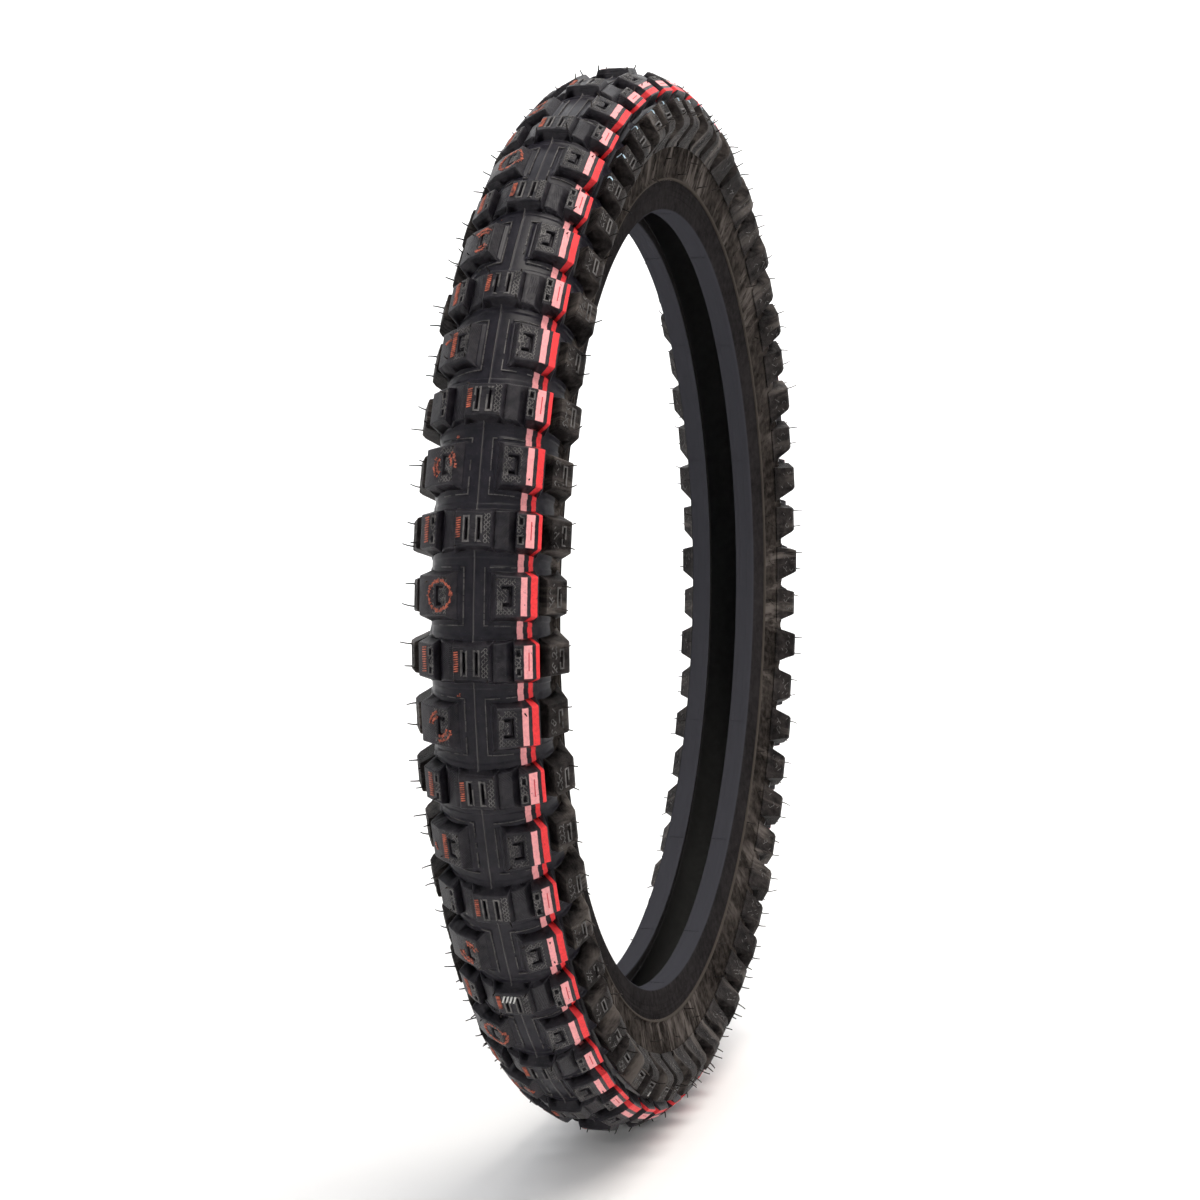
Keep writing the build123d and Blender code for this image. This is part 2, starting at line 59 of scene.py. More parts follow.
# ---------------------------------------------------------------- sizes, as in part.py (mm)
BEAD_R, TOE_Y, HEEL_Y = 266.7, 10.8, 22.7
HEEL_TOP, RIM_LINE = (26.0, 275.0), (28.6, 287.0)
FLOOR_C, FLOOR_RHO = 319.5, 35.6
CAV_C, CAV_RHO = 316.6, 31.0
SIDE_ANGLE = 104.0            # from the crown: the round floor runs into the straight sidewall
JOINT_ANGLE = 82.0            # from the crown: tread band meets sidewall
PITCHES = 30
PITCH = 360 / PITCHES
SHOULDER_A_TIP, SHOULDER_B_TIP = 47.4, 45.8

# feet of the knobs on the floor: (half length, section angle from, to)
FEET_A = [(12.0, -21.0, 21.0), (12.3, 14.0, 37.0), (12.5, 35.3, 56.0)]
FEET_B = [(13.8, 13.4, 56.0)]
SHOULDER_FOOT = (-12.6, 10.8, 63.5, 99.0)
FILLET = 2.6                  # radius where a knob runs into the floor
DRAFT = 22.0                  # lean of the knob flanks, degrees
PLINTH_H, PLINTH_W = 0.6, 3.4             # low step in front of and behind each knob
PLINTH_EDGE, PLINTH_SIDE = 0.45, 0.8      # how far its edges slope

SEAM_H, SEAM_W = 0.7, 0.42    # mould seam along the crown
FINE_LINES = (28.0, 31.0)     # thin lines on the floor, from the crown along the contour
FINE_H, FINE_W = 0.16, 0.4
RIM_RIB_H, RIM_RIB_FOOT, RIM_RIB_SLOPE = 1.1, 2.6, 0.7
SIDE_GROOVE_AT, SIDE_BAND_AT = 3.6, 14.5              # up from the rim line
BAND_SKIN, SIDE_SKIN, LINER_SKIN = 1.6, 1.3, 1.0      # thickness of the new skins
LUMP_SIZE, LUMP_H = 9.0, 0.04     # slight waviness of the moulded surface
WAVE_R = 355                      # radius that the waves are counted on
SKIN_SLICES, LINER_SLICES = 720, 360
FLANK = 12.3                      # length of the bead flank
BEAD_RIDGES = (3.4, 6.1, 9.6)     # ridges on it, down from the rim line
BASE_RIBS = (19.6, 14.2)          # ribs on the bead base (y)
LINER_PAST = 31                   # degrees the liner goes past the half circle at each end
SIDES = ((1, "left"), (-1, "right"))


# ---------------------------------------------------------------- geometry helpers
def spin(y, r, turn):
    """A section point (mm) turned to an angle from +X towards +Z, in metres."""
    a = math.radians(turn)
    return Vector((r * math.cos(a), y, r * math.sin(a))) * MM


def to_turn(turn):
    """Rotation about the axle that takes the tyre's top to a turn angle."""
    return Matrix.Rotation(math.radians(90 - turn), 4, "Y")


def new_piece(name, verts, faces, material, cad_slot, smooth=35.0):
    """Object from verts (m) and faces, dressed and put on the body."""
    mesh = bpy.data.meshes.new(name)
    mesh.from_pydata(verts, [], faces)
    mesh.validate()
    mesh.update()
    return dress(bpy.data.objects.new(name, mesh), material, smooth)


def dress(obj, material, smooth=35.0):
    """Smooth shading, material and body for a new piece."""
    bpy.context.scene.collection.objects.link(obj)
    mesh = obj.data
    mesh.polygons.foreach_set("use_smooth", [True] * len(mesh.polygons))
    mesh.set_sharp_from_angle(angle=math.radians(smooth))
    mesh.materials.clear()
    mesh.materials.append(material)
    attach(obj, "root")
    return obj


def ring_mesh(turns, loop_at):
    """Closed ring through one section loop per turn angle: verts and faces."""
    verts, faces = [], []
    loops = [loop_at(t) for t in turns]
    n = len(loops[0])
    for t, loop in zip(turns, loops):
        verts += [spin(y, r, t) for y, r in loop]
    count = len(turns)
    for i in range(count):
        j = (i + 1) % count
        for k in range(n):
            m = (k + 1) % n
            faces.append((i * n + k, i * n + m, j * n + m, j * n + k))
    return verts, faces


def even_turns(count):
    """Turn angles, evenly spaced."""
    return [360 * i / count for i in range(count)]


def graded(stops, steps):
    """Values from stop to stop, each stretch cut to about its own step."""
    out = []
    for (a, b), step in zip(zip(stops, stops[1:]), steps):
        n = max(1, round((b - a) / step))
        out += [a + (b - a) * i / n for i in range(n)]
    return out + [stops[-1]]


def contour(s, h=0.0):
    """Point (y, r) on the tyre's outer contour, s mm from the crown along it and h mm above it."""
    side = 1 if s >= 0 else -1
    s = abs(s)
    end = FLOOR_RHO * math.radians(SIDE_ANGLE)
    a = math.radians(SIDE_ANGLE) if s > end else s / FLOOR_RHO
    y = (FLOOR_RHO + h) * math.sin(a)
    r = FLOOR_C + (FLOOR_RHO + h) * math.cos(a)
    if s > end:
        y += (s - end) * math.cos(a)
        r -= (s - end) * math.sin(a)
    return side * y, r


def lumps(turn, s, size, depth):
    """Small smooth unevenness of moulded rubber, repeatable."""
    a = math.radians(turn)
    n = round(WAVE_R / size)
    return depth * (math.sin(n * a + 1.7 * math.sin(s / size)) * 0.6
                    + math.sin(round(n * 1.7) * a + s / size * 1.3 + 2.0) * 0.4)


def foot_height(x, s, x0, x1, s0, s1):
    """Height of the floor beside a knob: its fillet, with a low plinth in front and behind."""
    ds = max(s0 - s, s - s1)
    dx = max(x0 - x, x - x1)
    across = max(0.0, min(1.0, -ds / PLINTH_SIDE))
    plinth = PLINTH_H * across * max(0.0, min(1.0, (PLINTH_W - max(dx, 0.0)) / PLINTH_EDGE))
    return max(plinth, round_fillet(outside(x, s, x0, x1, s0, s1)))


def round_fillet(d):
    """Height of a knob's fillet, d mm outside its foot."""
    reach = FILLET * math.tan(math.radians((90 - DRAFT) / 2))
    if d >= reach:
        return 0.0
    inner = -reach * math.sin(math.radians(DRAFT))
    d = max(d, inner)
    return FILLET - math.sqrt(max(FILLET ** 2 - (reach - d) ** 2, 0.0))


def arc_length(degrees):
    """Distance along the floor's arc for an angle from the crown."""
    return FLOOR_RHO * math.radians(degrees)


def outside(x, s, x0, x1, s0, s1):
    """Distance of a floor point outside a foot rectangle, negative inside."""
    dx = max(x0 - x, x - x1)
    ds = max(s0 - s, s - s1)
    if dx > 0 and ds > 0:
        return math.hypot(dx, ds)
    return max(dx, ds)


def floor_height(turn, s):
    """Height above the contour: fillets at the knobs' feet, mould seam and fine lines."""
    a = turn % PITCH
    h = 0.0
    side_s = abs(s)
    r = contour(side_s)[1]
    for feet, centre in ((FEET_A, 0.0), (FEET_B, PITCH / 2), (FEET_A, PITCH)):
        x = math.radians(a - centre) * r
        if abs(x) > 18:
            continue
        for half, a0, a1 in feet:
            h = max(h, foot_height(x, side_s, -half, half, arc_length(a0), arc_length(a1)))
        x0, x1, a0, a1 = SHOULDER_FOOT
        h = max(h, foot_height(x, side_s, x0, x1, arc_length(a0), arc_length(a1)))
    seam = SEAM_H * math.exp(-(s / SEAM_W) ** 2)
    lines = sum(FINE_H * math.exp(-((side_s - at) / FINE_W) ** 2) for at in FINE_LINES)
    return h + seam + lines


def relief(turns, cols, height):
    """Heights over one pitch, worked out once: they repeat all the way round."""
    return {round(t, 4): [height(t, s) for s in cols] for t in turns}


# turns with fine steps at the knobs' front and back feet
HALF_PITCH = graded([0, 1.7, 2.65, 3.1, 4.0, 6.0], [0.55, 0.08, 0.4, 0.08, 0.5])
ONE_PITCH = HALF_PITCH + [PITCH - t for t in reversed(HALF_PITCH[1:-1])]
ONE_PITCH = [round(t, 4) for t in ONE_PITCH]
TREAD_TURNS = [k * PITCH + t for k in range(PITCHES) for t in ONE_PITCH]


# ---------------------------------------------------------------- materials
def tree(name):
    """New node material: it, its nodes, its links and its shader."""
    m = bpy.data.materials.new(name)
    m.use_nodes = True
    nodes, links = m.node_tree.nodes, m.node_tree.links
    shader = nodes["Principled BSDF"]
    return m, nodes, links, shader


def math_node(nodes, links, op, a, b=None, c=None):
    """Output of a math node; inputs are numbers or sockets."""
    n = nodes.new("ShaderNodeMath")
    n.operation = op
    for i, v in enumerate((a, b, c)):
        if v is None:
            continue
        if isinstance(v, (int, float)):
            n.inputs[i].default_value = v
        else:
            links.new(v, n.inputs[i])
    return n.outputs[0]


def noise(nodes, links, vector, scale, detail=4.0, rough=0.55):
    """Noise value, 0 to 1."""
    n = nodes.new("ShaderNodeTexNoise")
    n.inputs["Scale"].default_value = scale
    n.inputs["Detail"].default_value = detail
    n.inputs["Roughness"].default_value = rough
    links.new(vector, n.inputs["Vector"])
    return n.outputs["Fac"]


def ramp(nodes, links, fac, stops):
    """Colour ramp with (position, colour) stops."""
    n = nodes.new("ShaderNodeValToRGB")
    r = n.color_ramp
    while len(r.elements) < len(stops):
        r.elements.new(0.5)
    for e, (at, colour) in zip(r.elements, stops):
        e.position = at
        e.color = (*colour, 1)
    links.new(fac, n.inputs["Fac"])
    return n.outputs["Color"]


def mix(nodes, links, fac, a, b):
    """Colour a where fac is 0, b where it is 1."""
    n = nodes.new("ShaderNodeMix")
    n.data_type = "RGBA"
    links.new(fac, n.inputs["Factor"])
    for v, key in ((a, "A"), (b, "B")):
        target = [i for i in n.inputs if i.name == key and i.type == "RGBA"][0]
        if isinstance(v, tuple):
            target.default_value = (*v, 1)
        else:
            links.new(v, target)
    return [o for o in n.outputs if o.type == "RGBA"][0]


def map_range(nodes, links, value, a, b, c=0.0, d=1.0):
    """Value from a..b taken to c..d, clamped."""
    n = nodes.new("ShaderNodeMapRange")
    links.new(value, n.inputs["Value"])
    for key, v in (("From Min", a), ("From Max", b), ("To Min", c), ("To Max", d)):
        n.inputs[key].default_value = v
    return n.outputs["Result"]


# the pale blue below is for painted glints on knob edges: light reflected off them, put into the colour
PINK, RED, GLINT_BLUE = (0.90, 0.37, 0.38), (0.88, 0.045, 0.052), (0.62, 0.80, 0.92)
ORANGE, CHALK = (0.62, 0.14, 0.075), (0.62, 0.62, 0.60)
SCRAPED, SPECKS = (0.105, 0.091, 0.083), (0.09, 0.085, 0.08)
BAND_BLUR, BASE_BLUR = 0.12, 0.4   # half width of an edge: paint in degrees, base band in mm


def around_axle(nodes, links, coord):
    """The coordinate's x, y and z, and its distance from the axle."""
    split = nodes.new("ShaderNodeSeparateXYZ")
    links.new(coord, split.inputs[0])
    x, y, z = split.outputs
    square = [math_node(nodes, links, "MULTIPLY", v, v) for v in (x, z)]
    return x, y, z, math_node(nodes, links, "SQRT", math_node(nodes, links, "ADD", *square))


def rubber(name, dark, dusty, roughness, grain=0.35, bands=None, hatch=False, base_band=None,
           band_edge=BEAD_R + 1.1, gloss=0.2, streaks=False, spread=0.15, depth=0.3, seam=None):
    """Black rubber: mottled colour, worn sheen, moulded grain (bump depth in mm). Optional: bands,
    pink and red paint as section angles in degrees on the right half; hatch, a fine moulded weave;
    base_band, another colour inside the radius band_edge; streaks, brushed marks that point at the
    axle; seam, a painted highlight: a paler line along the crest of the mould seam on the centre plane."""
    m, nodes, links, shader = tree(name)
    coord = nodes.new("ShaderNodeTexCoord").outputs["Object"]
    big = noise(nodes, links, coord, 24, 6, 0.6)
    mid = noise(nodes, links, coord, 190, 6, 0.62)
    fine = noise(nodes, links, coord, 1500, 3)
    blend = math_node(nodes, links, "MULTIPLY_ADD", mid, 0.6, math_node(nodes, links, "MULTIPLY", big, 0.4))
    if streaks:
        x, y, z, r = around_axle(nodes, links, coord)
        fan = nodes.new("ShaderNodeCombineXYZ")
        links.new(math_node(nodes, links, "DIVIDE", x, r), fan.inputs[0])
        links.new(math_node(nodes, links, "DIVIDE", z, r), fan.inputs[1])
        links.new(math_node(nodes, links, "MULTIPLY", r, 0.7), fan.inputs[2])
        brushed = noise(nodes, links, fan.outputs[0], 26, 8, 0.66)
        scraped = math_node(nodes, links, "MULTIPLY", map_range(nodes, links, brushed, 0.49, 0.60),
                            map_range(nodes, links, noise(nodes, links, coord, 19, 3), 0.42, 0.54))
        blend = math_node(nodes, links, "MULTIPLY_ADD", brushed, 0.2,
                          math_node(nodes, links, "MULTIPLY", blend, 0.8))
    colour = ramp(nodes, links, blend, [(0.5 - spread, dark), (0.5 + spread, dusty)])
    if streaks:
        colour = mix(nodes, links, scraped, colour, SCRAPED)
    specks = map_range(nodes, links, noise(nodes, links, coord, 900, 2), 0.68, 0.74)
    colour = mix(nodes, links, math_node(nodes, links, "MULTIPLY", specks, 0.35), colour, SPECKS)
    # the seam colour is a painted highlight: a paler line along the crest of the mould seam
    if seam:
        split = nodes.new("ShaderNodeSeparateXYZ")
        links.new(coord, split.inputs[0])
        off = math_node(nodes, links, "ABSOLUTE", split.outputs[1])
        colour = mix(nodes, links, map_range(nodes, links, off, 0.15 * MM, 0.5 * MM, 1, 0), colour, seam)
    if base_band:
        r = around_axle(nodes, links, coord)[3]
        inner = map_range(nodes, links, r, (band_edge - BASE_BLUR) * MM, (band_edge + BASE_BLUR) * MM, 1, 0)
        colour = mix(nodes, links, inner, colour, base_band)
    rough = math_node(nodes, links, "MULTIPLY_ADD", mid, 0.22, roughness - 0.11)
    height = math_node(nodes, links, "MULTIPLY_ADD", fine, 0.5, math_node(nodes, links, "MULTIPLY", mid, 0.8))
    if hatch:
        wave = []
        for turn in (0.6, -0.6):
            mp = nodes.new("ShaderNodeMapping")
            mp.inputs["Rotation"].default_value = (turn, turn, 0.4)
            links.new(coord, mp.inputs["Vector"])
            w = nodes.new("ShaderNodeTexWave")
            w.inputs["Scale"].default_value = 420
            w.inputs["Distortion"].default_value = 1.2
            links.new(mp.outputs["Vector"], w.inputs["Vector"])
            wave.append(w.outputs["Fac"])
        weave = math_node(nodes, links, "MULTIPLY", wave[0], wave[1])
        patch = map_range(nodes, links, noise(nodes, links, coord, 85, 2), 0.45, 0.6)
        height = math_node(nodes, links, "ADD", height, math_node(nodes, links, "MULTIPLY", weave, patch))
    if bands:
        x, y, z, r = around_axle(nodes, links, coord)
        over = math_node(nodes, links, "SUBTRACT", r, FLOOR_C * MM)
        angle = math_node(nodes, links, "MULTIPLY", math_node(nodes, links, "ARCTAN2",
                          math_node(nodes, links, "MULTIPLY", y, -1), over), 180 / math.pi)
        wobble = math_node(nodes, links, "MULTIPLY_ADD", noise(nodes, links, coord, 260, 3), 0.9, -0.45)
        angle = math_node(nodes, links, "ADD", angle, wobble)
        # faces that look along the tread keep no pink and only dull red
        geo = nodes.new("ShaderNodeNewGeometry")
        turn_vec = nodes.new("ShaderNodeCombineXYZ")
        links.new(math_node(nodes, links, "MULTIPLY", z, -1), turn_vec.inputs[0])
        links.new(x, turn_vec.inputs[2])
        unit = nodes.new("ShaderNodeVectorMath")
        unit.operation = "NORMALIZE"
        links.new(turn_vec.outputs[0], unit.inputs[0])
        dot = nodes.new("ShaderNodeVectorMath")
        dot.operation = "DOT_PRODUCT"
        links.new(unit.outputs[0], dot.inputs[0])
        links.new(geo.outputs["Normal"], dot.inputs[1])
        along = math_node(nodes, links, "ABSOLUTE", dot.outputs["Value"])
        facing = map_range(nodes, links, along, 0.45, 0.7, 1, 0)
        worn = map_range(nodes, links, noise(nodes, links, coord, 420, 4, 0.7), 0.30, 0.36)
        (p0, p1), (q0, q1) = bands
        for (a0, a1), paint, flank in (((p0, p1), PINK, 0.0), ((q0, q1), RED, 0.85)):
            on = math_node(nodes, links, "MULTIPLY",
                           map_range(nodes, links, angle, a0 - BAND_BLUR, a0 + BAND_BLUR),
                           map_range(nodes, links, angle, a1 - BAND_BLUR, a1 + BAND_BLUR, 1, 0))
            keep = math_node(nodes, links, "MULTIPLY_ADD", facing, 1 - flank, flank)
            on = math_node(nodes, links, "MULTIPLY", on, math_node(nodes, links, "MULTIPLY", keep, worn))
            shade = noise(nodes, links, coord, 600, 4)
            lit = ramp(nodes, links, shade, [(0.3, tuple(0.82 * c for c in paint)), (0.6, paint)])
            colour = mix(nodes, links, on, colour, lit)
            rough = math_node(nodes, links, "MULTIPLY_ADD", on, 0.12, rough)
    links.new(colour, shader.inputs["Base Color"])
    links.new(rough, shader.inputs["Roughness"])
    shader.inputs["Specular IOR Level"].default_value = gloss
    bump = nodes.new("ShaderNodeBump")
    bump.inputs["Strength"].default_value = grain
    bump.inputs["Distance"].default_value = depth * MM
    links.new(height, bump.inputs["Height"])
    links.new(bump.outputs["Normal"], shader.inputs["Normal"])
    return m


def plain(name, a, b, scale, roughness, metallic=0.0, grain=0.3):
    """Two-tone surface with a fine grain, for paint, cord and wire."""
    m, nodes, links, shader = tree(name)
    coord = nodes.new("ShaderNodeTexCoord").outputs["Object"]
    f = noise(nodes, links, coord, scale, 5, 0.65)
    links.new(ramp(nodes, links, f, [(0.35, a), (0.65, b)]), shader.inputs["Base Color"])
    rough = map_range(nodes, links, f, 0.2, 0.8, roughness - 0.1, roughness + 0.1)
    links.new(rough, shader.inputs["Roughness"])
    shader.inputs["Metallic"].default_value = metallic
    bump = nodes.new("ShaderNodeBump")
    bump.inputs["Strength"].default_value = grain
    bump.inputs["Distance"].default_value = 0.0002
    links.new(noise(nodes, links, coord, scale * 5, 3), bump.inputs["Height"])
    links.new(bump.outputs["Normal"], shader.inputs["Normal"])
    return m


FLOOR_BANDS = ((39.6, 45.6), (50.4, 55.6))
A_BANDS = ((41.0, 47.7), (50.6, 53.6))
B_BANDS = ((38.6, 43.4), (46.4, 51.6))
# floor rubber: pink and red paint bands, and a painted highlight along the mould seam's crest
floor_rubber = rubber("floor rubber", (0.005, 0.0044, 0.0085), (0.017, 0.015, 0.0205), 0.36, 0.3,
                      FLOOR_BANDS, spread=0.12, seam=(0.085, 0.08, 0.08))
knob_a_rubber = rubber("knob rubber a", (0.006, 0.0053, 0.0085), (0.025, 0.0228, 0.0272), 0.40, 0.6,
                       A_BANDS, True, spread=0.11, depth=0.5)
knob_b_rubber = rubber("knob rubber b", (0.007, 0.0063, 0.0095), (0.032, 0.029, 0.034), 0.40, 0.6,
                       B_BANDS, True, spread=0.11, depth=0.5)
shoulder_rubber = rubber("shoulder rubber", (0.005, 0.0042, 0.0044), (0.038, 0.033, 0.032), 0.46, 0.8,
                         None, True, gloss=0.03, streaks=True, spread=0.1, depth=0.9)
# scuffed rubber, much paler than the knobs: on the raised hatch bars, slot rims and step edges it stands
# partly for real scuffs, partly for a painted highlight on their crests
scuffed_highlit_a = rubber("scuffed and highlit rubber a", (0.014, 0.013, 0.014), (0.17, 0.162, 0.158), 0.5, 0.5, A_BANDS)
scuffed_highlit_b = rubber("scuffed and highlit rubber b", (0.014, 0.013, 0.014), (0.17, 0.162, 0.158), 0.5, 0.5, B_BANDS)
# the paler band inside band_edge marks the rim-line rib: partly its worn crest, partly a painted highlight
# where the rib catches the light
side_rubber = rubber("sidewall rubber", (0.010, 0.0084, 0.0076), (0.048, 0.0410, 0.0370), 0.5, 0.6,
                     base_band=(0.060, 0.052, 0.046), band_edge=RIM_LINE[1] + 1.7,
                     gloss=0.0, streaks=True, spread=0.085, depth=0.6)
bead_rubber = rubber("bead rubber", (0.010, 0.0091, 0.0094), (0.026, 0.0234, 0.0240), 0.45, 0.25,
                     base_band=(0.040, 0.040, 0.047), gloss=0.0)
liner_rubber = rubber("liner rubber", (0.025, 0.025, 0.025), (0.039, 0.039, 0.039), 0.6, 0.2)
casing_rubber = rubber("casing rubber", (0.012, 0.012, 0.012), (0.02, 0.02, 0.02), 0.7, 0.3)
ply_cord = plain("ply cord", (0.20, 0.15, 0.10), (0.34, 0.27, 0.20), 700, 0.8)
bead_wire = plain("bead wire", (0.42, 0.30, 0.18), (0.62, 0.48, 0.30), 500, 0.35, 1.0)
orange_ink = plain("orange ink", (0.07, 0.02, 0.015), ORANGE, 380, 0.6)
chalk = plain("chalk", (0.35, 0.35, 0.34), CHALK, 600, 0.8)
red_ink = plain("red ink", (0.42, 0.02, 0.03), (0.62, 0.03, 0.05), 500, 0.6)
# painted edge glints: pale blue reflections of shiny knob edges, put into the colour
edge_glint_paint = plain("painted edge glint", (0.34, 0.52, 0.64), GLINT_BLUE, 500, 0.6)

# ---------------------------------------------------------------- tread band with knob fillets
joint_s = arc_length(JOINT_ANGLE)
half_cols = graded([0, 1.4, 4.2, 9.4, 20, 33, 42, joint_s], [0.3, 0.9, 0.4, 1.3, 1.4, 1.1, 1.3])
cols = [-s for s in reversed(half_cols[1:])] + half_cols
band_relief = relief(ONE_PITCH, cols, floor_height)


def band_loop(turn):
    """Section loop of the tread floor at one turn."""
    heights = band_relief[round(turn % PITCH, 4)]
    top = [contour(s, h + lumps(turn, s, LUMP_SIZE, LUMP_H)) for s, h in zip(cols, heights)]
    under = [contour(s, -BAND_SKIN) for s in reversed(cols[::12] + [cols[-1]])]
    return top + under


tread = new_piece("tread_band_skin", *ring_mesh(TREAD_TURNS, band_loop), floor_rubber, "tread_rubber", 60)
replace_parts(tread, "tread_band")

# ---------------------------------------------------------------- sidewalls
side_end = arc_length(SIDE_ANGLE)
rim_s = side_end + math.dist(contour(side_end), RIM_LINE)
side_cols = graded([joint_s, side_end + 1, rim_s - 4.0, rim_s - 0.05], [0.8, 1.6, 0.35])


def side_height(turn, s):
    """Sidewall relief: knob skirts, a shallow step band and the sharp rim line rib."""
    up = rim_s - s
    rib = RIM_RIB_H * max(0.0, min(1.0, min(up / 0.5, (RIM_RIB_FOOT - up) / RIM_RIB_SLOPE)))
    groove = -0.3 * math.exp(-((up - SIDE_GROOVE_AT) / 0.5) ** 2)
    band = 0.25 * math.exp(-((up - SIDE_BAND_AT) / 0.6) ** 2)
    return floor_height(turn, s) + rib + groove + band


side_relief = relief(ONE_PITCH, side_cols, side_height)

for side, word in SIDES:
    def side_loop(turn, side=side):
        heights = side_relief[round(turn % PITCH, 4)]
        top = [contour(side * s, h + lumps(turn, s, LUMP_SIZE, LUMP_H)) for s, h in zip(side_cols, heights)]
        under = [contour(side * s, -SIDE_SKIN) for s in reversed(side_cols[::5] + [side_cols[-1]])]
        return top + under

    wall = new_piece("sidewall_skin_" + word, *ring_mesh(TREAD_TURNS, side_loop),
                     side_rubber, "sidewall_rubber", 50)
    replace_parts(wall, "sidewall_" + word, "rim_line_" + word)


# ---------------------------------------------------------------- beads and liner
def bead_loop_points():
    """Outline of the bead skin (y, r): flank with ridges, heel, ribbed base, toe."""
    out = []
    # flank, rim line down to the heel, with raised ridges
    n = 60
    for i in range(n + 1):
        t = i / n
        y = RIM_LINE[0] + (HEEL_TOP[0] - RIM_LINE[0]) * t
        r = RIM_LINE[1] + (HEEL_TOP[1] - RIM_LINE[1]) * t
        along = FLANK * t
        ridge = sum(0.32 * math.exp(-((along - at) / 0.32) ** 2) for at in BEAD_RIDGES)
        dip = -0.25 * math.exp(-((along - 1.2) / 0.5) ** 2)
        out.append((y + ridge + dip, r))
    # heel curve
    for i in range(1, 13):
        a = math.radians(-12 - 78 * i / 12)
        out.append((HEEL_Y + 3.0 * math.cos(a) + 0.35, BEAD_R + 7.5 + 7.5 * math.sin(a)))
    # base
    for i in range(1, 25):
        y = HEEL_Y - (HEEL_Y - TOE_Y) * i / 24
        rib = sum(0.22 * math.exp(-((y - at) / 0.4) ** 2) for at in BASE_RIBS)
        out.append((y, BEAD_R - rib))
    # toe, then back inside the rubber
    out += [(TOE_Y - 0.25, BEAD_R + 0.5), (11.4, 272.0), (11.65, 275.4), (13.4, 275.0),
            (14.2, 270.5), (19.0, 269.5), (22.6, 275.0), (25.4, 286.8)]
    return out


bead_points = bead_loop_points()
for side, word in SIDES:
    def bead_loop(turn, side=side):
        wave = lumps(turn, 0, 14.0, 0.03)
        return [(side * (y + wave), r) for y, r in bead_points]

    bead = new_piece("bead_skin_" + word, *ring_mesh(even_turns(SKIN_SLICES), bead_loop),
                     bead_rubber, "bead_rubber", 50)
    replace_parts(bead, "chafer_" + word)


def liner_loop(turn):
    """Inside face of the tyre with faint bladder ridges, and its back 1 mm deeper."""
    pts = []
    n = 72
    for i in range(n + 1):
        a = math.radians(-LINER_PAST + (180 + 2 * LINER_PAST) * i / n)
        ridge = 0.15 * math.sin(i * math.pi / 2.0) ** 8
        pts.append(((CAV_RHO - ridge) * math.cos(a), CAV_C + (CAV_RHO - ridge) * math.sin(a)))
    foot = (11.6, 275.7)
    ring = [foot] + pts + [(-foot[0], foot[1])]
    back = [(-foot[0] - 0.8, foot[1] - 0.5)]
    for i in range(0, n + 1, 6):
        a = math.radians(180 + LINER_PAST - (180 + 2 * LINER_PAST) * i / n)
        back.append(((CAV_RHO + LINER_SKIN) * math.cos(a), CAV_C + (CAV_RHO + LINER_SKIN) * math.sin(a)))
    back.append((foot[0] + 0.8, foot[1] - 0.5))
    return ring + back


liner = new_piece("inner_liner_skin", *ring_mesh(even_turns(LINER_SLICES), liner_loop),
                  liner_rubber, "liner_rubber", 50)
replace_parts(liner, "inner_liner")


# ---------------------------------------------------------------- knobs: softened edges on the CAD blocks
def over_contour(co):
    """Height (mm) of a point (m) over the tyre's outer contour."""
    y, r = abs(co.y) / MM, math.hypot(co.x, co.z) / MM
    a = math.atan2(y, r - FLOOR_C)
    if a < math.radians(SIDE_ANGLE):
        return math.hypot(y, r - FLOOR_C) - FLOOR_RHO
    y0, r0 = contour(side_end)
    tilt = math.radians(SIDE_ANGLE)
    return (y - y0) * math.sin(tilt) + (r - r0) * math.cos(tilt)


FLAT_ANGLE, SHARP_ANGLE = 2.0, 22     # degrees: faces merged below, edges rounded above
SHORT_EDGE, FOOT_ZONE = 2.2, 0.45     # mm: shorter edges, and those at the foot, stay sharp


def soften(node, name, material, width, sink=0.0):
    """A copy of a CAD node with flat faces merged and corners rounded; sink lowers it by that share."""
    bm = bmesh.new()
    bm.from_mesh(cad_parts[node].data)
    tilt = math.radians(SIDE_ANGLE)
    for v in bm.verts:
        drop = max(over_contour(v.co), 0.0) * sink * MM
        around = Vector((v.co.x, 0, v.co.z)).normalized()
        out = Vector((0, math.copysign(1, v.co.y), 0))
        v.co -= (out * math.sin(tilt) + around * math.cos(tilt)) * drop
    bmesh.ops.remove_doubles(bm, verts=bm.verts, dist=1e-6)
    bmesh.ops.dissolve_limit(bm, angle_limit=math.radians(FLAT_ANGLE), verts=bm.verts, edges=bm.edges)
    bmesh.ops.dissolve_degenerate(bm, dist=0.06 * MM, edges=bm.edges)
    feet = {v for v in bm.verts if over_contour(v.co) < FOOT_ZONE}
    sharp = [e for e in bm.edges if len(e.link_faces) == 2
             and e.calc_face_angle(0) > math.radians(SHARP_ANGLE)
             and e.is_convex and e.calc_length() > SHORT_EDGE * MM
             and not (e.verts[0] in feet and e.verts[1] in feet)]
    bmesh.ops.bevel(bm, geom=sharp, offset=width * MM, segments=3, profile=0.55, affect="EDGES",
                    clamp_overlap=False)
    bmesh.ops.triangulate(bm, faces=[f for f in bm.faces if len(f.verts) > 4])
    mesh = bpy.data.meshes.new(name)
    bm.to_mesh(mesh)
    bm.free()
    obj = dress(bpy.data.objects.new(name, mesh), material, 60)
    weighted = obj.modifiers.new("flat faces stay flat", "WEIGHTED_NORMAL")
    weighted.keep_sharp = True
    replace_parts(obj, node)
    return obj


